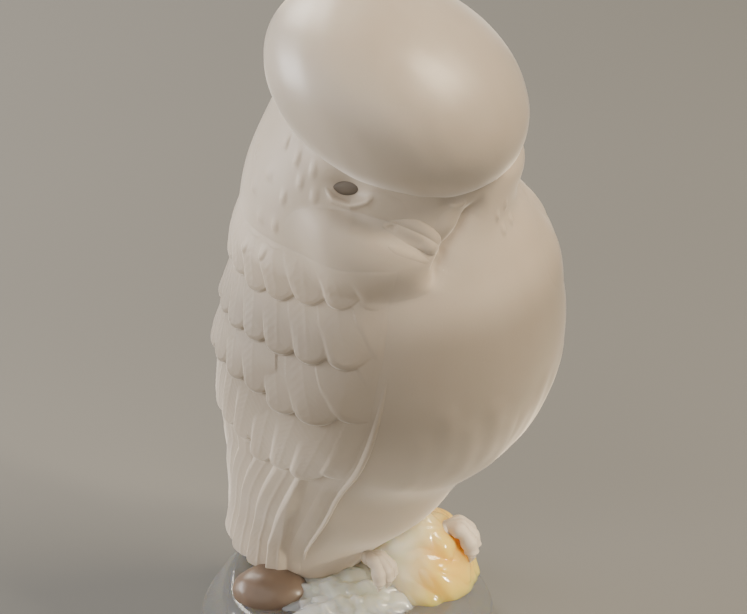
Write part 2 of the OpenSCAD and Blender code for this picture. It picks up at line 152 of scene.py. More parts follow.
def crown_axes():
    """Rows are the crown's own X, Y and Z in the frame."""
    a, b, c = (math.radians(v) for v in (-HEAD_TURN, HEAD_BOW, HEAD_TILT))
    turn = np.array([[math.cos(a), math.sin(a), 0], [-math.sin(a), math.cos(a), 0], [0, 0, 1]])
    bow = np.array([[1, 0, 0], [0, math.cos(b), math.sin(b)], [0, -math.sin(b), math.cos(b)]])
    tilt = np.array([[math.cos(c), 0, -math.sin(c)], [0, 1, 0], [math.sin(c), 0, math.cos(c)]])
    return tilt @ bow @ turn


CROWN_AXES = crown_axes()


def crown_local(p):
    return (p - CROWN_MID) @ CROWN_AXES.T


def neck(p):
    """The torso, closed off softly inside the crown."""
    return -blend(-body(p), -(crown_local(p)[..., 2] + BROW_DROP), CROWN_BLEND)


def reach(field, start, way):
    """Distance along each ray to where a field turns positive."""
    low = np.zeros(start.shape[:-1])
    high = np.full(start.shape[:-1], RAY_LENGTH)
    for _ in range(HALVINGS):
        half = (low + high) / 2
        inside = field(start + way * half[..., None]) < 0
        low, high = np.where(inside, half, low), np.where(inside, high, half)
    return (low + high) / 2


def way_of(turn, climb=0.0):
    """Ray direction of a turn and a climb, in degrees."""
    turn, climb = np.broadcast_arrays(np.radians(turn), np.radians(climb))
    level = np.cos(climb)
    return np.stack([-np.sin(turn) * level, -np.cos(turn) * level, np.sin(climb)], -1)


def on_torso(turn, z, out=0.0):
    """Points on the torso skin, pushed out along their rays."""
    turn, z, out = (v.astype(float) for v in np.broadcast_arrays(turn, z, out))
    t = clamp((z - SPINE_LOW[2]) / (SPINE_HIGH[2] - SPINE_LOW[2]))[..., None]
    start = SPINE_LOW + (SPINE_HIGH - SPINE_LOW) * t
    start[..., 2] = z
    way = way_of(turn)
    skin = start + way * reach(body, start, way)[..., None]
    from_top = skin - SPINE_HIGH
    from_top /= np.linalg.norm(from_top, axis=-1)[..., None]
    way = np.where((z > SPINE_HIGH[2])[..., None], from_top, way)
    return skin + way * out[..., None]


# ---- mesh making ----
def volume_of(points, faces):
    """Signed volume of a closed mesh, to find which way its faces look."""
    total = 0.0
    for size in (3, 4):
        group = np.array([f for f in faces if len(f) == size])
        for k in range(1, size - 1):
            if len(group):
                a, b, c = (points[group[:, i]] for i in (0, k, k + 1))
                total += np.einsum("ij,ij->i", a, np.cross(b, c)).sum()
    return total


def add_piece(name, points, faces, node, material, slot):
    """A piece of the body that stands in for one CAD node."""
    points = np.asarray(points, float)
    if volume_of(points - points.mean(0), faces) < 0:
        faces = [face[::-1] for face in faces]
    mesh = bpy.data.meshes.new(name)
    mesh.from_pydata((points * MM).tolist(), [], faces)
    mesh.update()
    mesh.shade_smooth()
    mesh.materials.append(material)
    piece = bpy.data.objects.new(name, mesh)
    bpy.context.scene.collection.objects.link(piece)
    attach(piece, BODY)
    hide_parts(node)


def wrap(low_pole, rings, high_pole):
    """Points and faces of a closed solid: a pole, closed rings and a pole."""
    m, n = rings.shape[:2]
    points = np.concatenate([[low_pole], rings.reshape(-1, 3), [high_pole]])
    i, j = np.arange(n), np.arange(m - 1)[:, None]
    a, b = 1 + j * n + i, 1 + j * n + (i + 1) % n
    faces = np.stack([a, a + n, b + n, b], -1).reshape(-1, 4).tolist()
    last = 1 + (m - 1) * n
    faces += [[0, 1 + k, 1 + (k + 1) % n] for k in range(n)]
    faces += [[last + k, m * n + 1, last + (k + 1) % n] for k in range(n)]
    return points, faces


def ball_ways(sides, rings):
    """Directions all round, in rings between two poles."""
    turn = np.arange(sides) * 2 * np.pi / sides
    climb = (np.arange(1, rings) / rings - 0.5)[:, None] * np.pi
    level = np.cos(climb)
    return np.stack(np.broadcast_arrays(level * np.cos(turn), level * np.sin(turn), np.sin(climb)), -1)


def grid_faces(m, n):
    """Faces of a grid of points, and the grid of their numbers."""
    index = np.arange(m * n).reshape(m, n)
    corners = (index[:-1, :-1], index[:-1, 1:], index[1:, 1:], index[1:, :-1])
    return np.stack(corners, -1).reshape(-1, 4), index


def border_of(index):
    """The grid's border as one loop of vertices."""
    return np.concatenate([index[0, ::-1], index[1:, 0], index[-1, 1:], index[-2:0:-1, -1]])


def cushion(grid, skirt, pole):
    """Closed solid: a grid, a skirt below its border and a point behind it."""
    faces, index = grid_faces(*grid.shape[:2])
    border = border_of(index)
    hem = index.size + np.arange(len(border))
    side = np.stack([border, np.roll(border, -1), np.roll(hem, -1), hem], -1)
    fan = [[a, b, index.size + len(hem)] for a, b in zip(hem.tolist(), np.roll(hem, -1).tolist())]
    points = np.concatenate([grid.reshape(-1, 3), skirt.reshape(-1, 3)[border], [pole]])
    return points, faces.tolist() + side.tolist() + fan


def slab(outer, inner):
    """Closed solid between two grids of one size."""
    top, index = grid_faces(*outer.shape[:2])
    border = border_of(index)
    after, k = np.roll(border, -1), index.size
    side = np.stack([border, after, after + k, border + k], -1)
    faces = np.concatenate([top, top[:, ::-1] + k, side])
    return np.concatenate([outer.reshape(-1, 3), inner.reshape(-1, 3)]), faces.tolist()


def curve_through(marks, t):
    """Smooth curve through marks, at shares of its course."""
    marks = np.array(marks, float)
    marks = np.concatenate([[2 * marks[0] - marks[1]], marks, [2 * marks[-1] - marks[-2]]])
    s = clamp(t) * (len(marks) - 3)
    k = np.minimum(s.astype(int), len(marks) - 4)
    f = (s - k)[..., None]
    a, b, c, d = (marks[k + i] for i in range(4))
    return b + 0.5 * f * (c - a + f * (2 * a - 5 * b + 4 * c - d + f * (3 * (b - c) + d - a)))


# ---- relief of the torso skin: folds, face and marks run smoothly into each other ----
DEGREE = 0.44  # millimetres of skin for a degree of turn

EYE_PLACES = {"right": (64.0, 113.0), "left": (22.5, 110.4)}
EYE_HALVES = {"right": (2.7, 1.5), "left": (1.5, 0.7)}
SOCKET_DEPTH = {"right": 2.35, "left": 1.2}
LID_RISE = {"right": 0.6, "left": 0.2}
LID_COURSES = {
    "right": ((73.5, 113.2), (68.5, 111.0), (62, 110.2), (56, 111.0), (52.5, 112.4)),
    "left": ((25, 109.4), (22, 108.5), (18.5, 108.4), (16.5, 109.2)),
}
UNDER_EYE_CREASE = ((74, 110.2), (60, 108.4), (51, 106.3), (44, 105.2), (37, 103.2), (31, 99.6))
BREAST_CREASE = ((8, 109.0), (13.5, 106.6), (19, 103.4), (25, 100.6), (29, 97.6), (31.5, 94.0))
THROAT_MARKS = ((-4, 100), (-11, 100.5), (-1, 103), (-7, 104))
NECK_MARKS = (
    (96, 117), (87, 115.5), (83, 112), (78, 114.5), (90, 108.5), (102, 103), (108, 96),
    (97, 97), (101, 111), (110, 107), (118, 112), (93, 103), (76, 110.5),
)
# feather ticks: marks, size and height
FEATHER_TICKS = ((THROAT_MARKS, 0.9, 0.35), (NECK_MARKS, 1.1, 0.28))

# folds: middle, half sizes, climb, rise and crispness; cheeks: middle, half sizes and rise
FOLDS = {
    "right": ((57.0, 101.0), (32.0, 7.8), 3.0, 3.6, 0.95),
    "left": ((48.0, 90.5), (30.0, 8.0), 2.0, 1.1, 1.9),
}
FOLD_END = 90.0
FOLD_FADE = 22.0

# hollows of the neck and the nape: place, half sizes and height
HOLLOWS = (((-42.0, 102.0), (15.0, 5.0), -2.0), ((128.0, 117.0), (20.0, 10.0), -1.4))
CHEEKS = {
    "right": ((54.0, 109.2), (13.0, 3.4), 0.35),
    "left": ((23.5, 104.8), (7.0, 3.8), 0.6),
}
CHEEK_CRISP = 1.8
STREAKS = ((22, 66), (15, 62), (8, 65), (1, 60), (28, 60))


def from_path(turn, z, path):
    """Distance in mm from a path on the skin, and the share along it."""
    best = np.full(turn.shape, 1e9)
    along = np.zeros(turn.shape)
    count = len(path) - 1
    for i in range(count):
        a = np.array([path[i][0] * DEGREE, path[i][1]])
        d = np.array([path[i + 1][0] * DEGREE, path[i + 1][1]]) - a
        x, y = turn * DEGREE - a[0], z - a[1]
        t = clamp((x * d[0] + y * d[1]) / (d @ d))
        gap = np.hypot(x - t * d[0], y - t * d[1])
        along = np.where(gap < best, (i + t) / count, along)
        best = np.minimum(best, gap)
    return best, along


def stroke(turn, z, path, width, height):
    """A ridge or, with a negative height, a groove that fades at its ends."""
    gap, along = from_path(turn, z, path)
    fade = smooth(4 * along) * smooth(4 * (1 - along))
    return height * fade * np.exp(-(gap / width) ** 2)


def pit(turn, z, at, half, height):
    """A smooth oval bump or hollow."""
    gap = np.hypot((turn - at[0]) * DEGREE / half[0], (z - at[1]) / half[1])
    return height * np.exp(-gap ** 2 * 1.4)


def swelling(turn, z, mid, half, rise, climb, crisp):
    """A rounded form with an oval edge, which is crisper above where crisp is low."""
    across = (turn - mid[0]) / half[0]
    up = (z - mid[1] - climb * across) / half[1]
    full = clamp(1 - across ** 2 - up ** 2)
    return rise * full ** mix(1.6, crisp, smooth(0.5 + up))


def feather_tick(turn, z, at, size, height):
    """A small lifted feather tip: a short tongue with a sharp lower edge."""
    back, up = (turn - at[0]) * DEGREE, z - at[1]
    inset = size - np.hypot(back * 1.2, np.minimum(up, 0.0))
    root = smooth(1 - up / (2.2 * size))
    return height * clamp(inset / 0.7) * root * (up > -size)


BROW_REACH = 4.0
BROW_FULL = 1.1


def brow_relief(turn, p):
    """The brow runs down into the face in a soft hollow curve."""
    face = smooth((turn + 12) / 20) * smooth((88 - turn) / 20)
    gap = mass(crown_local(p), (0, 0, 0), CROWN_HALF)
    return BROW_FULL * face * clamp(1 - gap / BROW_REACH) ** 2


def face_relief(turn, z):
    """Cheeks, creases, eye sockets and lids."""
    rise = np.zeros(turn.shape)
    for mid, half, full in CHEEKS.values():
        rise += swelling(turn, z, mid, half, full, 0.0, CHEEK_CRISP)
    rise += stroke(turn, z, UNDER_EYE_CREASE, 1.5, -1.0)
    rise += stroke(turn, z, BREAST_CREASE, 0.9, -1.3)
    rise += stroke(turn, z, BREAST_CREASE, 2.6, -1.4)
    for word, at in EYE_PLACES.items():
        half = EYE_HALVES[word]
        rise += pit(turn, z, at, (half[0] + 1.2, half[1] + 1.0), -SOCKET_DEPTH[word])
        rise += stroke(turn, z, LID_COURSES[word], 0.8, LID_RISE[word])
    return rise


def signed(turn):
    """The same turn between -180 and 180 degrees."""
    return (turn + 180.0) % 360.0 - 180.0


def plain_relief(turn, z):
    """Height of the skin over the torso's masses, without the wings' bed."""
    turn = signed(turn)
    rise = face_relief(turn, z)
    for at, half, height in HOLLOWS:
        rise += pit(turn, z, at, half, height)
    for word, (mid, half, climb, full, crisp) in FOLDS.items():
        aside = SIDES[word] * turn
        fold = swelling(aside, z, mid, half, full, climb, crisp)
        rise += fold * smooth((FOLD_END - aside) / FOLD_FADE)
    for marks, size, height in FEATHER_TICKS:
        for at in marks:
            rise += feather_tick(turn, z, at, size, height)
    for t, up in STREAKS:
        course = ((t + 3, up + 9), (t, up), (t - 2, up - 11))
        rise += stroke(np.abs(turn), z, course, 1.3, 0.25)
    return rise


def on_skin(turn, z, out=0.0):
    """Points on the finished skin, pushed out from it."""
    turn, z, out = (v.astype(float) for v in np.broadcast_arrays(turn, z, out))
    brow = brow_relief(signed(turn), on_torso(turn, z))
    return on_torso(turn, z, plain_relief(turn, z) + brow + out)


# ---- the lay of the wing feathers ----
WING_TOP = 101.0
WING_FRONT = 43.0
WING_SWEEP = 15.0
WING_SPAN = 83.0
WING_SWEEP_POWER = 3.5
WING_BACK = 178.6
WING_BED = 0.9
WING_SINK = 1.1
BED_INSET = 0.02

FEATHERS = 11
FEATHER_OVERLAP = 1.2
ROW_BASE = 0.3
COVERT_ROWS = 4
FIRST_TIP = 98.5
ROW_STEP = 6.9
ROW_STEP_GROWTH = 1.1
COVERT_LIFTS = (1.15, 2.15, 2.5, 2.6)
COVERT_LENGTHS = (15.0, 6.5)
COVERT_WIDE = 5.2
COVERT_LEAN = 0.0062

SECONDARY_FEATHERS = 12
SECONDARY_BASE = 0.25
SECONDARY_TIP = 51.0
SECONDARY_LIFT = 1.6
SECONDARY_LENGTHS = (22.0, 12.0)
SECONDARY_WIDE = 4.7
SECONDARY_LEAN = -0.002
SECONDARY_SEED = 7

PRIMARY_BASE = 0.25
PRIMARY_TIP = 16.8
PRIMARY_SPREAD = 0.8
PRIMARY_SEED = 9

TIP_SCATTER = 0.6
GROOVE_DEPTH = 0.75
GROOVE_WIDTH = 0.9


def front_edge(z):
    """Turn of the wing's edge on the flank."""
    return WING_FRONT + WING_SWEEP * clamp((WING_TOP - z) / WING_SPAN) ** WING_SWEEP_POWER


def wing_share(turn, z):
    """0 at the wing's edge on the flank and 1 at the middle of the back."""
    front = front_edge(z)
    return (turn - front) / (WING_BACK - front)


def wing_zone(turn, z):
    """1 under the wing and 0 outside it, with soft borders."""
    u = wing_share(turn, z) - BED_INSET
    along = smooth(u * 16) * smooth((1 - u - 2 * BED_INSET) * 16)
    return along * smooth((WING_TOP - 1 - z) / 6) * smooth((z - PRIMARY_TIP - 1) / 2)


def sink_share(u, z):
    """The wing lies a little way into the flank, but not at its borders."""
    along = smooth((WING_TOP - z) / 12) * smooth((z - 35) / 20)
    return smooth((u - 0.06) / 0.25) * smooth((1 - u) * 6) * along


def row_tip(i, u):
    """Height of the tips of a covert row: the rows spread ahead and behind."""
    base = FIRST_TIP - ROW_STEP * i - ROW_STEP_GROWTH * i * i
    climb = 6.0 * i / COVERT_ROWS * clamp(1 - u / 0.2) ** 2
    behind = smooth((u - 0.18) / 0.2)
    return base + climb + (2.0 * i * i - 5.2 * i) * behind * 0.55


def secondary_tip(u):
    """Height of the tips of the secondaries."""
    return SECONDARY_TIP + 6.0 * clamp(1 - u / 0.14) ** 2 + 4.5 * smooth((u - 0.28) / 0.14)


def tongue(across, down, half, lift, root_length, free_length):
    """Height of one feather, whose round tip stands free, and the groove round it."""
    hidden = mix(1.0, 0.55, smooth(down / (1.5 * half) - 0.2))
    lapped = np.where(across < 0, across * hidden, across)
    inset = half - np.hypot(lapped, np.minimum(down - half, 0.0))
    ripe = clamp(1 - down / root_length) ** 0.8
    free = smooth(1.25 - down / free_length)
    lip = mix(1.0, clamp(inset / 1.6) ** 0.5 * clamp(inset / 0.2), free)
    rim = 0.34 * np.exp(-((inset - 0.8) / 0.45) ** 2) * free
    slope = 0.55 * across / half * free
    shaft = 0.05 * np.exp(-(across / 0.35) ** 2) * smooth((down - 1.0) / 2.0)
    barbs = 0.010 * np.sin(5.2 * (np.abs(across) + 0.8 * down)) * smooth(inset / 1.2)
    groove = GROOVE_DEPTH * clamp(1 + inset / GROOVE_WIDTH) * free * (inset <= 0)
    rise = ROW_BASE + (lift * ripe + slope + rim + shaft + barbs) * lip
    return np.where(inset > 0, rise, -1.0), groove


def feather_row(u, z, tip_of, count, shift, wide, lift, lengths, seed, lean):
    """Height of a row of overlapping feathers, each over the one behind."""
    s = (u - lean * np.maximum(z - tip_of(u) - wide / 2, 0.0)) * count + shift
    best = np.full(np.broadcast(u, z).shape, -1.0)
    groove = np.zeros(best.shape)
    for step in (-1, 0, 1):
        k = np.floor(s) + step
        middle = (k + 0.5 - shift) / count
        half = wide / 2 * FEATHER_OVERLAP * (1 + 0.06 * scatter(k, seed + 1))
        across = (s - k - 0.5) * wide
        down = z - tip_of(middle) - TIP_SCATTER * scatter(k, seed)
        feather, beside = tongue(across, down, half, lift, *lengths)
        best = np.maximum(best, feather)
        groove = np.maximum(groove, beside)
    return best, groove


def row_outline(u, tip_of, count, shift, wide, seed):
    """Lower outline of a row of feathers."""
    s = u * count + shift
    low = np.full(np.shape(u), 1e9)
    for step in (-1, 0, 1):
        k = np.floor(s) + step
        middle = (k + 0.5 - shift) / count
        half = wide / 2 * FEATHER_OVERLAP * (1 + 0.06 * scatter(k, seed + 1))
        across = np.minimum(np.abs((s - k - 0.5) * wide), half)
        tip = tip_of(middle) + TIP_SCATTER * scatter(k, seed)
        edge = tip + half - np.sqrt(half ** 2 - across ** 2)
        low = np.minimum(low, np.where(across < half, edge, 1e9))
    return low


def covert_row(i):
    """Rule for the tips of a covert row, and its sideways shift."""
    return (lambda u: row_tip(i, u)), 0.5 * ((i + 1) % 2)


def soften(u):
    """Feathers are faint at the flank and crisp over the side."""
    return mix(0.25, 1.0, smooth((u - 0.03) / 0.15))


def covert_relief(u, z):
    """Rows of coverts, with a groove round their tips."""
    height = np.full(u.shape, ROW_BASE)
    for i in range(COVERT_ROWS):
        tip_of, shift = covert_row(i)
        row, groove = feather_row(u, z, tip_of, FEATHERS, shift, COVERT_WIDE,
                                  COVERT_LIFTS[i], COVERT_LENGTHS, i, COVERT_LEAN)
        height = np.maximum(height, row) - groove * (row < height)
    return ROW_BASE + (height - ROW_BASE) * soften(u)


def covert_edge(u):
    """Lower outline of the last row of coverts."""
    last = COVERT_ROWS - 1
    tip_of, shift = covert_row(last)
    return row_outline(u, tip_of, FEATHERS, shift, COVERT_WIDE, last)


def secondary_relief(u, z):
    height, _ = feather_row(u, z, secondary_tip, SECONDARY_FEATHERS, 0.0, SECONDARY_WIDE,
                            SECONDARY_LIFT, SECONDARY_LENGTHS, SECONDARY_SEED, SECONDARY_LEAN)
    return SECONDARY_BASE + (np.maximum(height, SECONDARY_BASE) - SECONDARY_BASE) * soften(u)


def secondary_edge(u):
    return row_outline(u, secondary_tip, SECONDARY_FEATHERS, 0.0, SECONDARY_WIDE, SECONDARY_SEED)


def primary_share(u, z):
    """The primaries spread as they drop, so their edges sweep backwards."""
    drop = clamp((SECONDARY_TIP - z) / (SECONDARY_TIP - PRIMARY_TIP))
    return u / (1 + PRIMARY_SPREAD * drop), drop


def primary_tip_line(w):
    """Height of the tips of the primaries."""
    return PRIMARY_TIP + 3.2 * clamp((w - 0.08) / 0.5)


def primary_relief(u, z):
    """Long feathers, each over the one behind, under a smooth leading one."""
    w, drop = primary_share(u, z)
    wide = COVERT_WIDE * (1 + 0.5 * PRIMARY_SPREAD * drop)
    s = w * FEATHERS + 0.5
    best = np.full(u.shape, PRIMARY_BASE)
    for step in (-1, 0):
        k = np.floor(s) + step
        across = (s - k - 0.5) * wide
        half = wide / 2 * 1.25
        down = z - primary_tip_line((k + 0.5) / FEATHERS) - 0.3 * scatter(k, PRIMARY_SEED)
        inset = half - np.hypot(across, np.minimum(down - 0.6 * half, 0.0))
        lip = np.sqrt(clamp(inset / 1.1))
        slope = 0.85 * across / half
        shaft = 0.12 * np.exp(-(across / 0.45) ** 2)
        barbs = 0.01 * np.sin(5.0 * (np.abs(across) + 0.5 * down))
        rise = (0.85 + slope + shaft + barbs) * lip * mix(0.6, 1.0, drop)
        best = np.maximum(best, PRIMARY_BASE + rise)
    hollow = smooth(1 - np.abs(u - 0.075) / 0.075)
    return best * mix(1.0, 0.15, smooth(1 - (u - 0.10) / 0.05)) + 0.12 - 0.25 * hollow * drop


def primary_edge(u):
    w = u / (1 + PRIMARY_SPREAD)
    s = w * FEATHERS + 0.5
    across = 2 * (s - np.floor(s)) - 1
    return primary_tip_line(w) + 1.6 * (1 - np.sqrt(clamp(1 - across ** 2 * 0.95)))


# columns, rows, upper edge, lower edge, relief and how far it runs under the part above
WING_PARTS = {
    "coverts": (330, 230, lambda u: WING_TOP + 0 * u, covert_edge, covert_relief, 0.0),
    "secondaries": (330, 130, covert_edge, secondary_edge, secondary_relief, 2.5),
    "primaries": (330, 190, secondary_edge, primary_edge, primary_relief, 2.5),
}
WING_EDGE_SINK = 0.05
SKIRT = 4.0
WING_CORE = 12.0


def make_wing_part(part, word):
    """One group of feathers, with a skirt that runs into the flank."""
    side = SIDES[word]
    cols, steps, high, low, relief, overlap = WING_PARTS[part]
    u = np.linspace(0, 1, cols + 1)[None, :]
    v = np.linspace(0, 1, steps + 1)[:, None]
    z = mix(high(u) + overlap, low(u), v)
    u, v = np.broadcast_arrays(u, v)
    turn = mix(front_edge(z), WING_BACK, u)
    top_fade = smooth(v * 5.0) if part == "coverts" else smooth(v * 12.0)
    tip_fade = smooth((1 - v) * steps / 2.5)
    rim = smooth(u * cols / 8) * smooth((1 - u) * cols / 2.5) * tip_fade * smooth(v * steps / 12)
    fade = smooth(u * 12) * smooth((1 - u) * 30) * top_fade
    lift = mix(0.03, relief(u, z), fade) - WING_SINK * sink_share(u, z)
    grid = on_skin(side * turn, z, mix(-WING_EDGE_SINK, lift, rim))
    grid += (0.05 * wobble(grid, 5.0))[..., None] * way_of(side * turn)
    z_mid = z.mean()
    middle_turn = side * (front_edge(z_mid) + WING_BACK) / 2
    pole = on_torso(middle_turn, z_mid, -WING_CORE)
    name = f"{part}_{word}"
    skirt = on_skin(side * turn, z, -SKIRT)
    add_piece(f"{name}_feathers", *cushion(grid, skirt, pole), name, satin, SATIN)


# ---- the torso and the crown ----
FACE_FROM = -20.0
FACE_TO = 95.0


def make_torso():
    """Rings of rays from the spine: finer on the face, and closed in the crown."""
    face_sides, rest_sides, trunk_rings, neck_rings, low_rings = 200, 140, 160, 100, 14
    turns = np.concatenate([mix(FACE_FROM, FACE_TO, np.arange(face_sides) / face_sides),
                            mix(FACE_TO, FACE_FROM + 360.0, np.arange(rest_sides) / rest_sides)])
    sides = len(turns)

    def ring(field, start, climb):
        start = np.broadcast_to(start, (sides, 3)).astype(float)
        way = way_of(turns, climb)
        p = start + way * reach(field, start, way)[:, None]
        z, aside = p[:, 2], np.abs(signed(turns))
        bed = WING_BED * wing_zone(aside, z) + WING_SINK * sink_share(wing_share(aside, z), z)
        rise = plain_relief(turns, z) + brow_relief(signed(turns), p) - bed
        return p + way * rise[:, None]

    rings = [ring(body, SPINE_LOW, -88.0 + 88.0 * j / low_rings) for j in range(low_rings)]
    shares = [j / trunk_rings for j in range(trunk_rings + 1)]
    rings += [ring(body, mix(SPINE_LOW, SPINE_HIGH, share), 0.0) for share in shares]
    rings += [ring(neck, SPINE_HIGH, 88.0 * j / neck_rings) for j in range(1, neck_rings + 1)]
    rings = np.array(rings)
    rings[..., 2] = np.maximum(rings[..., 2], SEAT_HEIGHT)
    low = [SPINE_LOW[0], SPINE_LOW[1], SEAT_HEIGHT]
    high = [SPINE_HIGH[0], SPINE_HIGH[1], rings[-1, :, 2].mean()]
    add_piece("torso_skin", *wrap(low, rings, high), "torso", satin, SATIN)


def make_crown():
    """The plain dome of the head, with a trace of hand-worked unevenness."""
    way = ball_ways(260, 160)
    q = way * (CROWN_HALF + 0.10 * wobble(way * 30, 8.0)[..., None])
    ends = np.array([[0, 0, -CROWN_HALF[2]], [0, 0, CROWN_HALF[2]]])
    low, high = ends @ CROWN_AXES + CROWN_MID
    dome = wrap(low, q @ CROWN_AXES + CROWN_MID, high)
    add_piece("crown_dome", *dome, "crown", crown_satin, SATIN)


# ---- folds, cheeks, beak and eyes, laid on the skin ----
PATCH_PROUD = 0.02
PATCH_CORE = 7.0
STRIP_DEPTH = 2.0


def make_patch(name, node, mid, half, climb=0.0, side=1):
    """The part of the finished skin that one swelling takes up, as a solid."""
    sides, rings = 170, 70
    rho = (np.arange(1, rings + 1) / rings)[:, None]
    phi = (np.arange(sides) * 2 * np.pi / sides)[None, :]
    across, up = rho * np.cos(phi), rho * np.sin(phi)
    turn = mid[0] + half[0] * across
    z = mid[1] + half[1] * up + climb * across
    edge = smooth((1 - rho) * rings / 4) + 0 * phi
    grid = on_skin(side * turn, z, mix(-PATCH_PROUD, PATCH_PROUD, edge))
    top = on_skin(side * mid[0], mid[1], PATCH_PROUD)
    skirt = on_skin(side * turn[-1:], z[-1:], -SKIRT)
    pole = on_torso(side * mid[0], mid[1], -PATCH_CORE)
    add_piece(name, *wrap(top, np.concatenate([grid, skirt]), pole), node, satin, SATIN)


def make_strip(name, node, marks, width, lift, side=1, steps=160, cols=36):
    """A ridge along a path on the skin, from rules for its width and height."""
    t = np.linspace(0, 1, steps + 1)
    path = curve_through(marks, t) * np.array([DEGREE, 1.0])
    ahead = np.gradient(path, axis=0)
    ahead /= np.linalg.norm(ahead, axis=1)[:, None]
    normal = np.stack([-ahead[:, 1], ahead[:, 0]], 1)
    across = np.linspace(-1, 1, cols + 1)[None, :]
    spot = path[:, None, :] + normal[:, None, :] * (across * width(t)[:, None])[..., None]
    turn, z = spot[..., 0] / DEGREE, spot[..., 1]
    t, across = np.broadcast_arrays(t[:, None], across)
    outer = on_skin(side * turn, z, lift(t, across))
    inner = on_skin(side * turn, z, -STRIP_DEPTH)
    add_piece(name, *slab(outer, inner), node, satin, SATIN)


def make_folds():
    """The shoulder folds, and the cheeks of the head, which is turned to the right."""
    for word, side in SIDES.items():
        node = f"shoulder_{word}"
        mid, half, climb = FOLDS[word][:3]
        make_patch(f"{node}_fold", node, mid, half, climb, side)
    for word, (mid, half, _) in CHEEKS.items():
        make_patch(f"cheek_{word}_pad", f"cheek_{word}", mid, half)


def make_flank_ridges():
    """The raised line along the front edge of each wing."""
    marks = [(front_edge(z) - 0.5, z) for z in np.linspace(84, 22, 12)]

    def width(t):
        return 0.5 * np.sqrt(clamp(t * 3 + 0.02)) * np.sqrt(clamp((1 - t) * 20 + 0.02))

    def lift(t, across):
        ends = smooth(t * 2.5) * smooth((1 - t) * 10)
        return 0.62 * ends * (1 - across ** 2) - 0.04

    for word, side in SIDES.items():
        node = f"flank_ridge_{word}"
        make_strip(f"{node}_line", node, marks, width, lift, side, steps=420, cols=28)


def make_beak():
    """A short hooked beak, pressed sideways into the fold below it."""
    def upper_width(t):
        return 2.25 * np.sqrt(clamp(t * 2.2 + 0.02)) * np.sqrt(clamp(1 - t ** 4)) + 0.05

    def upper_lift(t, across):
        above = (1 - across ** 2) ** mix(2.2, 0.7, smooth(t * 1.3))
        below = (1 - across ** 2) ** 0.7
        soft = mix(below, above, smooth(0.5 + across * 1.5))
        nostril = -0.36 * np.exp(-((t - 0.15) / 0.06) ** 2 - ((across - 0.1) / 0.40) ** 2)
        rise = mix(0.25, 1.15, smooth(t * 1.4)) * np.sqrt(clamp((1 - t) * 5))
        return (rise + nostril) * soft - 0.05

    def lower_width(t):
        return 0.9 * np.sqrt(clamp(t * 4 + 0.03)) * np.sqrt(clamp(1 - t ** 2)) + 0.05

    def lower_lift(t, across):
        return 0.14 * (1 - across ** 2) * np.sqrt(clamp((1 - t) * 4)) - 0.04

    upper = ((50, 107.0), (44, 106.3), (38, 105.2), (32, 103.0), (28, 100.6))
    lower = ((48, 104.0), (43, 102.8), (37.5, 101.2), (32, 99.2))
    make_strip("beak_upper_hook", "beak_upper", upper, upper_width, upper_lift, cols=60)
    make_strip("beak_lower_jaw", "beak_lower", lower, lower_width, lower_lift, cols=40)


def skin_frame(turn, z):
    """A point on the skin with its directions: backwards, up and out."""
    p = on_torso(turn, z)
    back = on_torso(turn + 1.0, z) - on_torso(turn - 1.0, z)
    up = on_torso(turn, z + 0.5) - on_torso(turn, z - 0.5)
    back, up = back / np.linalg.norm(back), up / np.linalg.norm(up)
    out = np.cross(back, up)
    out *= np.sign(out @ way_of(turn))
    upright = np.cross(out, back)
    upright *= np.sign(upright[2])
    return p, back, upright, out / np.linalg.norm(out)


EYE_TILT = -9.0
EYE_DEPTH = {"right": 1.7, "left": 1.5}
EYE_DOME = 0.7
EYE_CORE = 1.5


def almond(phi, half):
    """An eye's outline: pointed at both corners, flatter above."""
    x = half[0] * np.cos(phi)
    y = half[1] * np.sin(phi) * np.abs(np.sin(phi)) ** 0.35
    y = np.where(y > 0, 0.8 * y, y)
    c, s = math.cos(math.radians(EYE_TILT)), math.sin(math.radians(EYE_TILT))
    return x * c - y * s, x * s + y * c


def make_eye(word):
    """An almond of smooth glass at the bottom of its socket, dark as painted shade of the hollow."""
    (turn, z), half = EYE_PLACES[word], EYE_HALVES[word]
    p, back, up, out = skin_frame(turn, z)
    rings, sides = 40, 96
    rho = np.sin(np.arange(1, rings + 1) / rings * np.pi / 2)[:, None]
    phi = (np.arange(sides) * 2 * np.pi / sides)[None, :]
    x, y = almond(phi, half)
    x, y = x * rho, y * rho
    rise = EYE_DOME * np.sqrt(clamp(1 - rho ** 2)) + 0 * phi - EYE_DEPTH[word]
    grid = p + x[..., None] * back + y[..., None] * up + rise[..., None] * out
    top = p + (EYE_DOME - EYE_DEPTH[word]) * out
    pole = p - (EYE_DEPTH[word] + EYE_CORE) * out
    add_piece(f"eye_{word}_ball", *wrap(top, grid, pole), f"eye_{word}", eye_shade_glass, EYE)


def make_lid(word):
    """The fuller lower lid, a soft crescent under the eye."""
    def width(t):
        return 0.85 * np.sqrt(clamp(4 * t * (1 - t))) + 0.05

    def lift(t, across):
        ends = smooth(4 * t) * smooth(4 * (1 - t))
        return LID_RISE[word] * 0.5 * ends * (1 - across ** 2) ** 2 - 0.03

    make_strip(f"eye_{word}_lid", f"eye_ring_{word}", LID_COURSES[word], width, lift)


# ---- tail and feet ----
TAIL_FEATHERS = 5
TAIL_HIGH = 44.0
TAIL_LOW = 13.2
TAIL_HALF = 7.3
TAIL_MID = 1.5
TAIL_BACK = (23.3, 27.2)
TAIL_THICK = (3.5, 2.2)
TAIL_NARROWING = 0.66


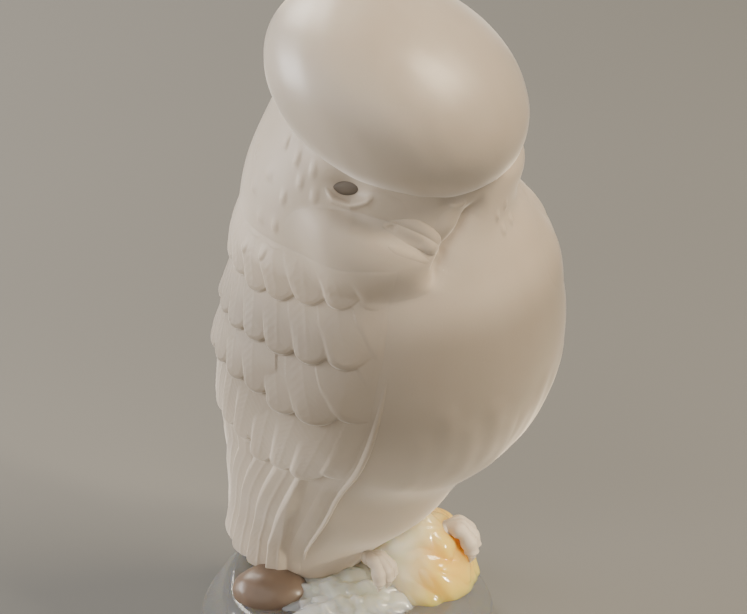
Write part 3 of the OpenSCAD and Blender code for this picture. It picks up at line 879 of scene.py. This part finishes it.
def make_tail():
    """Straight feathers side by side, narrower towards their tips."""
    cols, steps = 160, 220
    a = np.linspace(-1, 1, cols + 1)[None, :]
    v = np.linspace(0, 1, steps + 1)[:, None]
    s = (a + 1) / 2 * TAIL_FEATHERS
    across = 2 * (s - np.floor(s)) - 1
    tip = TAIL_LOW + 3.0 * np.abs(a) ** 1.5 + 1.5 * (1 - np.sqrt(clamp(1 - across ** 2 * 0.97)))
    z = mix(TAIL_HIGH, tip, v)
    a, v = np.broadcast_arrays(a, v)
    across = np.broadcast_to(across, a.shape)
    drop = (TAIL_HIGH - z) / (TAIL_HIGH - TAIL_LOW)
    lip = np.sqrt(clamp((1 - np.abs(across)) / 0.35))
    tip_lip = np.sqrt(clamp((z - tip) / 1.2))
    edge = np.sqrt(clamp((1 - np.abs(a)) / 0.12))
    shaft = 0.2 * np.exp(-(across / 0.12) ** 2)
    relief = (0.5 * lip + 0.25 * (1 - np.abs(a)) + shaft) * tip_lip
    back = mix(*TAIL_BACK, drop ** 1.2) - 2.2 * a ** 2
    x = TAIL_MID + a * TAIL_HALF * mix(1.0, TAIL_NARROWING, drop ** 1.5)
    raised = (relief + 0.4) * edge * mix(0.3, 1.0, smooth(v * 6)) - 0.4
    outer = np.stack([x, back + raised, z], -1)
    inner = np.stack([x, back - mix(*TAIL_THICK, drop), z], -1)
    add_piece("tail_feathers", *slab(outer, inner), "tail", satin, SATIN)


def tube(marks, radii, sides=28, steps=90):
    """A round solid along a smooth path, with radii from a rule."""
    t = np.linspace(0, 1, steps + 1)
    path = curve_through(marks, t)
    ahead = np.gradient(path, axis=0)
    ahead /= np.linalg.norm(ahead, axis=1)[:, None]
    wide = np.cross(ahead, [0.0, 0.0, 1.0])
    wide += 1e-6
    wide /= np.linalg.norm(wide, axis=1)[:, None]
    deep = np.cross(wide, ahead)
    phi = np.arange(sides) * 2 * np.pi / sides
    round_it = wide[:, None] * np.cos(phi)[:, None] + deep[:, None] * np.sin(phi)[:, None]
    rings = path[:, None] + radii(t)[:, None, None] * round_it
    return wrap(path[0], rings, path[-1])


TOE_SPREAD = (-24, 4, 30)
FOOT_PLACES = {"right": (-3.8, -8.8, 24.4), "left": (12.0, -14.8, 25.2)}
FOOT_SIZES = {"right": 0.74, "left": 0.9}
FOOT_AHEAD = {"right": 0.0, "left": 38.0}
TOE_RADIUS = 1.7
TOE_COURSE = ((-2.0, -0.4), (1.2, 1.0), (3.8, 0.4), (5.4, -2.2), (5.8, -4.8), (5.2, -6.6))
CLAW_START = 0.72


def toe_radii(t):
    """Three knuckles, then a claw that tapers to its tip."""
    knuckles = 1 + 0.10 * np.cos(2 * np.pi * (t * 4.2 - 0.3))
    claw = np.where(t > CLAW_START, mix(0.62, 0.16, (t - CLAW_START) / (1 - CLAW_START)), 1.0)
    return TOE_RADIUS * knuckles * claw * np.sqrt(clamp(t * 14 + 0.04))


def join(parts):
    """Several closed solids as one mesh."""
    points, faces, base = [], [], 0
    for p, f in parts:
        points.append(p)
        faces += [[i + base for i in face] for face in f]
        base += len(p)
    return np.concatenate(points), faces


def make_foot(word):
    """Three toes curl from the ankle over the rock."""
    ankle, size = np.array(FOOT_PLACES[word]), FOOT_SIZES[word]
    toes = []
    for angle in TOE_SPREAD:
        a = math.radians(angle + FOOT_AHEAD[word])
        marks = [ankle + size * np.array([far * math.sin(a), -far * math.cos(a), up])
                 for far, up in TOE_COURSE]
        toes.append(tube(marks, lambda t: size * toe_radii(t)))
    add_piece(f"foot_{word}_toes", *join(toes), f"foot_{word}", satin, CLEAR)


# ---- rock and plinth ----
MOUND_MID = (0.5, 0.5, SEAT_HEIGHT - 6)
MOUND_HALF = (21.0, 21.0, 10.9)
MOUND_START = (-3.0, -5.0)
BOULDER_MID = (10.0, -10.0, SEAT_HEIGHT - 3)
BOULDER_HALF = (12.0, 12.0, 17.0)
STONE_MID = np.array([-13.5, 7.5, 15.0])
STONE_HALF = np.array([7.4, 5.8, 4.8])
STONE_TURN = -50.0
SUNK_IN_BODY = 1.0
SUNK_IN_SEAT = 0.3
STANDING_RIM = ((8.0, -11.5, 25.8), (1.0, -8.0, 22.6), 2.6, 1.8)


def lumps(p, size, height):
    """Rounded lumps parted by creases, as in chipped and fire-polished glass."""
    folded = np.abs(wobble(p, size, 0.7)) + 0.5 * np.abs(wobble(p, size * 0.45, 3.1))
    return height * (0.6 - folded)


def boulder(p):
    """A worn boulder with a raised rim where the bird stands on it."""
    lump = mass(p, BOULDER_MID, BOULDER_HALF) + lumps(p, 10.0, 2.0)
    return blend(lump, taper(p, *STANDING_RIM), 3.0)


def mound(p):
    """The low lumps that cover the seat."""
    return mass(p, MOUND_MID, MOUND_HALF) + lumps(p, 6.5, 2.2)


def mound_clear_of(p):
    """The mound, cut back a little inside the bird and the boulder."""
    return np.maximum(np.maximum(mound(p), -body(p) - SUNK_IN_BODY), -boulder(p) - SUNK_IN_BODY)


def boulder_clear_of(p):
    """The boulder, cut back a little inside the bird."""
    return np.maximum(boulder(p), -body(p) - SUNK_IN_BODY)


def make_rock(name, node, field, mid, material, slot):
    """A rock's skin, found by rays from a point in the seat."""
    sides, rings = 300, 130
    turns = np.arange(sides) * 360.0 / sides
    foot = np.array([mid[0], mid[1], SEAT_HEIGHT - SUNK_IN_SEAT])
    upwards = np.array([0.0, 0.0, 1.0])
    start = np.broadcast_to(foot, (rings, sides, 3))
    way = way_of(turns[None, :], (90.0 * np.arange(rings) / rings)[:, None])
    grown = start + way * reach(field, start, way)[..., None]
    top = foot + upwards * reach(field, foot, upwards)
    add_piece(name, *wrap(foot, grown, top), node, material, slot)


def make_stone():
    """A smooth dark pebble with one small bump on top."""
    way = ball_ways(160, 90)
    grow = 1 + 0.035 * wobble(way * 10, 6.0)
    aside = (way[..., 0] + 0.1) ** 2 + (way[..., 1] - 0.55) ** 2
    curl = 0.10 * np.exp(-aside / 0.05) * (way[..., 2] > 0)
    q = way * STONE_HALF * (grow + curl)[..., None]
    c, s = math.cos(math.radians(STONE_TURN)), math.sin(math.radians(STONE_TURN))
    spin = np.array([[c, s, 0], [-s, c, 0], [0, 0, 1]])
    ends = np.array([[0, 0, -STONE_HALF[2]], [0, 0, STONE_HALF[2]]])
    low, high = ends + STONE_MID
    add_piece("stone_smoky", *wrap(low, q @ spin + STONE_MID, high), "tail_stone", smoky, SMOKY)


def make_plinth():
    """A turned foot: a flat underside, a soft rim, and a flare to the seat."""
    sides, bead, flare, flat, inner = 240, 24, 60, 30, 8
    quarter = math.pi / 2
    rim_flat, edge = RIM_RADIUS - RIM_BEAD, RIM_RADIUS - SHOULDER_BEAD
    rim = [(rim_flat + RIM_BEAD * math.sin(a), RIM_BEAD - RIM_BEAD * math.cos(a))
           for a in (quarter * k / bead for k in range(bead + 1))]
    upper = [(edge + SHOULDER_BEAD * math.cos(a), RIM_HEIGHT + SHOULDER_BEAD * (math.sin(a) - 1))
             for a in (math.radians(SHOULDER_TURN) * k / bead for k in range(bead + 1))]
    far, high = upper[-1]
    slope = [(mix(far, SEAT_RADIUS, t), mix(high, SEAT_HEIGHT, math.sin(quarter * t)))
             for t in ((k + 1) / flare for k in range(flare))]
    seat = [(SEAT_RADIUS * (1 - k / inner), SEAT_HEIGHT) for k in range(1, inner)]
    underside = [(rim_flat * k / flat, 0.0) for k in range(1, flat)]
    profile = np.array(underside + rim + upper + slope + seat)
    phi = np.arange(sides) * 2 * np.pi / sides
    across, height = profile[:, :1], profile[:, 1:]
    rings = np.stack([across * np.cos(phi), across * np.sin(phi), height + 0 * phi], -1)
    between = (rings[..., 2] > 2) * (rings[..., 2] < SEAT_HEIGHT - 0.1)
    ripple = 0.12 * wobble(rings, 9.0) * between
    rings[..., :2] *= (1 - np.abs(ripple) / RIM_RADIUS)[..., None]
    foot = wrap([0, 0, 0], rings, [0, 0, SEAT_HEIGHT])
    add_piece("plinth_foot", *foot, "plinth", plinth_glass, CLEAR)


# ---- materials ----
def new_material(name):
    material = bpy.data.materials.new(name)
    material.use_nodes = True
    tree = material.node_tree
    return material, tree, tree.nodes["Principled BSDF"]


def add_noise(tree, scale, detail=3.0, stretch=(1, 1, 1)):
    where = tree.nodes.new("ShaderNodeTexCoord")
    mapping = tree.nodes.new("ShaderNodeMapping")
    mapping.inputs["Scale"].default_value = stretch
    noise = tree.nodes.new("ShaderNodeTexNoise")
    noise.inputs["Scale"].default_value = scale
    noise.inputs["Detail"].default_value = detail
    tree.links.new(where.outputs["Object"], mapping.inputs["Vector"])
    tree.links.new(mapping.outputs["Vector"], noise.inputs["Vector"])
    return noise


def add_ramp(tree, source, stops):
    ramp = tree.nodes.new("ShaderNodeValToRGB")
    elements = ramp.color_ramp.elements
    while len(elements) < len(stops):
        elements.new(0.5)
    for element, (place, colour) in zip(elements, stops):
        element.position = place
        element.color = (*colour, 1)
    tree.links.new(source, ramp.inputs["Fac"])
    return ramp


def add_bump(tree, shader, source, strength, distance):
    bump = tree.nodes.new("ShaderNodeBump")
    bump.inputs["Strength"].default_value = strength
    bump.inputs["Distance"].default_value = distance
    tree.links.new(source, bump.inputs["Height"])
    tree.links.new(bump.outputs["Normal"], shader.inputs["Normal"])


def add_roughness(tree, shader, source, low, high):
    span = tree.nodes.new("ShaderNodeMapRange")
    span.inputs["To Min"].default_value = low
    span.inputs["To Max"].default_value = high
    tree.links.new(source, span.inputs["Value"])
    tree.links.new(span.outputs["Result"], shader.inputs["Roughness"])


def set_values(shader, **values):
    for name, value in values.items():
        shader.inputs[name.replace("_", " ")].default_value = value


def add_tint_along(tree, way, low, high, stops):
    """A tint that changes from one side of the piece to the other."""
    where = tree.nodes.new("ShaderNodeTexCoord")
    along = tree.nodes.new("ShaderNodeVectorMath")
    along.operation = "DOT_PRODUCT"
    along.inputs[1].default_value = way
    tree.links.new(where.outputs["Object"], along.inputs[0])
    span = tree.nodes.new("ShaderNodeMapRange")
    span.inputs["From Min"].default_value = low
    span.inputs["From Max"].default_value = high
    tree.links.new(along.outputs["Value"], span.inputs["Value"])
    ramp = add_ramp(tree, span.outputs["Result"], stops)
    ramp.color_ramp.interpolation = "EASE"
    return ramp


def multiply(tree, a, b):
    blend_node = tree.nodes.new("ShaderNodeMix")
    blend_node.data_type = "RGBA"
    blend_node.blend_type = "MULTIPLY"
    blend_node.inputs["Factor"].default_value = 1.0
    tree.links.new(a, blend_node.inputs[6])
    tree.links.new(b, blend_node.inputs[7])
    return blend_node.outputs[2]


GLASS_IOR = 1.52
ETCH_FINENESS = 2200.0
ETCH_STRENGTH = 0.18
ETCH_DEPTH = 0.00006

# painted shade: the satin glass is darkened over the middle of the body's height, and a little at the
# head, where shade falls; a tint between two heights, in metres
PAINTED_SHADE_HEIGHTS = (0.020, 0.120)
PAINTED_SHADE_BY_HEIGHT = (
    (0.33, (1.0, 1.0, 1.0)), (0.52, (0.61, 0.60, 0.585)), (0.64, (0.57, 0.56, 0.545)),
    (0.74, (0.88, 0.87, 0.86)), (0.80, (1.0, 1.0, 1.0)), (0.90, (0.93, 0.93, 0.93)),
    (1.0, (0.89, 0.89, 0.89)),
)
SATIN_TINTS = ((0.30, (0.49, 0.415, 0.33)), (0.52, (0.525, 0.45, 0.365)), (0.72, (0.565, 0.49, 0.40)))
FLOOR_TINTS = ((0.3, (0.155, 0.154, 0.145)), (0.7, (0.17, 0.169, 0.16)))

# the boulder turns from cream to amber along a direction, between two distances
ACROSS_ROCK = (
    (0.643, -0.766, -0.30), 0.001, 0.012,
    ((0.0, (1.0, 0.96, 0.86)), (1.0, (1.0, 0.62, 0.16))),
)
CREAM, PALE_CREAM = (1.0, 0.87, 0.66), (1.0, 0.95, 0.80)
HONEY, PALE_HONEY = (0.97, 0.90, 0.78), (1.0, 0.97, 0.90)
FAINT_GREY, NEAR_WHITE = (0.90, 0.86, 0.80), (0.98, 0.96, 0.92)
DARK_BROWN, BROWN = (0.135, 0.09, 0.062), (0.24, 0.17, 0.125)
# the eye's dark colours are painted shade, standing in for the shadow in the eye socket
DARK_EYE_SHADE, DIM_EYE_SHADE = (0.12, 0.095, 0.07), (0.18, 0.15, 0.12)


def make_satin(name, gloss, roughness):
    """Acid-etched crystal: light sinks in, the skin is matt, the edges glow, and painted shade darkens
    it by height.
    """
    material, tree, shader = new_material(name)
    tint = add_noise(tree, 45.0, 4.0, (1, 1, 0.5))
    ramp = add_ramp(tree, tint.outputs["Fac"], SATIN_TINTS)
    # painted shade: the colour is multiplied by a tint that darkens the body by height
    painted_shade = add_tint_along(tree, (0, 0, 1), *PAINTED_SHADE_HEIGHTS, PAINTED_SHADE_BY_HEIGHT)
    colour = multiply(tree, ramp.outputs["Color"], painted_shade.outputs["Color"])
    tree.links.new(colour, shader.inputs["Base Color"])
    set_values(shader, IOR=GLASS_IOR, Subsurface_Weight=0.45, Subsurface_Scale=0.0005)
    set_values(shader, Subsurface_Radius=(1.0, 0.86, 0.70), Coat_Weight=gloss)
    set_values(shader, Coat_Roughness=0.42, Coat_IOR=1.6)
    set_values(shader, Sheen_Weight=1.0, Sheen_Roughness=0.30, Sheen_Tint=(1.0, 0.94, 0.86, 1.0))
    patch = add_noise(tree, 130.0)
    add_roughness(tree, shader, patch.outputs["Fac"], *roughness)
    etch = add_noise(tree, ETCH_FINENESS, 2.0)
    add_bump(tree, shader, etch.outputs["Fac"], ETCH_STRENGTH, ETCH_DEPTH)
    return material


def make_polished(name, dark, light, roughness, transmission, subsurface, ripple, sides=None):
    """Fire-polished crystal: clear and glossy, with faint waves in its skin."""
    material, tree, shader = new_material(name.replace("crystal", "look"))
    tint = add_noise(tree, 70.0)
    ramp = add_ramp(tree, tint.outputs["Fac"], ((0.35, dark), (0.65, light)))
    colour = ramp.outputs["Color"]
    if sides:
        across = add_tint_along(tree, *sides)
        colour = multiply(tree, colour, across.outputs["Color"])
    tree.links.new(colour, shader.inputs["Base Color"])
    set_values(shader, IOR=GLASS_IOR, Transmission_Weight=transmission)
    set_values(shader, Subsurface_Weight=subsurface, Subsurface_Scale=0.008)
    set_values(shader, Subsurface_Radius=(1.0, 0.85, 0.6))
    patch = add_noise(tree, 180.0, 2.0)
    add_roughness(tree, shader, patch.outputs["Fac"], *roughness)
    wave = add_noise(tree, 240.0, 2.0)
    add_bump(tree, shader, wave.outputs["Fac"], ripple, 0.0005)
    return material


def make_stage_material():
    """Matt grey card."""
    material, tree, shader = new_material("pale_floor")
    tint = add_noise(tree, 3.0)
    ramp = add_ramp(tree, tint.outputs["Fac"], FLOOR_TINTS)
    tree.links.new(ramp.outputs["Color"], shader.inputs["Base Color"])
    set_values(shader, Roughness=0.85)
    return material


# ---- camera, light and stage ----
CAMERA_AIM = Vector((1.5, -5.3, 75.5)) * MM
ROCK_AIM = Vector((8.0, -10.0, 22.0)) * MM
CAMERA_TURN = -50.0
CAMERA_CLIMB = 30.0
CAMERA_GAP = 0.450
SENSOR_WIDTH = 36.0
FOCAL_IN_WIDTHS = 3.349
STAGE_RADIUS = 0.9
STAGE_SIDES = 96


def towards(turn, climb):
    """Direction of a turn and a climb, in degrees, from the bird's front."""
    a, e = math.radians(turn), math.radians(climb)
    return Vector((math.sin(a) * math.cos(e), -math.cos(a) * math.cos(e), math.sin(e)))


def aim(thing, turn, climb, gap, at=CAMERA_AIM):
    thing.location = at + towards(turn, climb) * gap
    thing.rotation_euler = (at - thing.location).to_track_quat("-Z", "Y").to_euler()
    bpy.context.scene.collection.objects.link(thing)


def make_camera():
    data = bpy.data.cameras.new("camera")
    data.sensor_width = SENSOR_WIDTH
    data.lens = FOCAL_IN_WIDTHS * SENSOR_WIDTH
    data.clip_start = 0.01
    camera = bpy.data.objects.new("camera", data)
    aim(camera, CAMERA_TURN, CAMERA_CLIMB, CAMERA_GAP)
    bpy.context.scene.camera = camera


def add_light(name, turn, climb, gap, size, power, colour):
    """A round area light that looks at the middle of the bird."""
    data = bpy.data.lights.new(name, "AREA")
    data.shape = "DISK"
    data.size = size
    data.energy = power
    data.color = colour
    aim(bpy.data.objects.new(name, data), turn, climb, gap)


def add_spot(name, turn, climb, gap, spread, power, colour, at):
    """A soft spot that looks at a place of its own."""
    data = bpy.data.lights.new(name, "SPOT")
    data.spot_size = math.radians(spread)
    data.spot_blend = 1.0
    data.shadow_soft_size = 0.03
    data.energy = power
    data.color = colour
    aim(bpy.data.objects.new(name, data), turn, climb, gap, at)


def make_lights():
    add_light("key", 33, 50, 0.80, 0.36, 9.3, (1.0, 0.83, 0.60))
    add_light("side", -148, 10, 0.80, 0.40, 6.5, (1.0, 0.97, 0.95))
    add_light("soft", -72, 30, 0.80, 1.20, 5.6, (1.0, 0.93, 0.85))
    add_light("back", 165, 35, 0.80, 0.40, 5.0, (1.0, 0.94, 0.85))
    add_spot("glow", 12, 16, 0.45, 15, 8.5, (1.0, 0.90, 0.70), ROCK_AIM)
    world = bpy.data.worlds.new("studio")
    world.use_nodes = True
    background = world.node_tree.nodes["Background"]
    background.inputs["Color"].default_value = (1.0, 0.96, 0.89, 1)
    background.inputs["Strength"].default_value = 0.23
    bpy.context.scene.world = world


def make_stage():
    """A wide flat floor."""
    angles = [2 * math.pi * k / STAGE_SIDES for k in range(STAGE_SIDES)]
    points = [(STAGE_RADIUS * math.cos(a), STAGE_RADIUS * math.sin(a), 0.0) for a in angles]
    mesh = bpy.data.meshes.new("stage_floor")
    mesh.from_pydata(points, [], [tuple(range(STAGE_SIDES))])
    mesh.materials.append(make_stage_material())
    stage = bpy.data.objects.new("stage_floor", mesh)
    bpy.context.scene.collection.objects.link(stage)


# ---- the scene ----
satin = make_satin("satin_look", 0.20, (0.54, 0.70))
crown_satin = make_satin("smooth_satin_look", 0.60, (0.38, 0.52))
clear = make_polished(CLEAR, CREAM, PALE_CREAM, (0.03, 0.18), 0.42, 1.0, 0.45)
plinth_glass = make_polished("plinth_crystal", FAINT_GREY, NEAR_WHITE, (0.05, 0.16), 0.85, 0.6, 0.25)
amber = make_polished(AMBER, HONEY, PALE_HONEY, (0.04, 0.20), 0.22, 1.0, 0.35, ACROSS_ROCK)
smoky = make_polished(SMOKY, DARK_BROWN, BROWN, (0.28, 0.42), 0.20, 0.5, 0.25)
# the eye glass is darkened as painted shade of its socket
eye_shade_glass = make_polished(EYE, DARK_EYE_SHADE, DIM_EYE_SHADE, (0.45, 0.60), 0.10, 0.5, 0.10)

make_camera()
make_lights()
make_stage()
make_torso()
make_crown()
make_folds()
make_flank_ridges()
make_beak()
for word in EYE_PLACES:
    make_eye(word)
    make_lid(word)
for part in WING_PARTS:
    for word in SIDES:
        make_wing_part(part, word)
make_tail()
for word in FOOT_PLACES:
    make_foot(word)
make_rock("rock_clear", "rock_mound", mound_clear_of, MOUND_START, clear, CLEAR)
make_rock("rock_amber", "rock_boulder", boulder_clear_of, BOULDER_MID, amber, AMBER)
make_stone()
make_plinth()
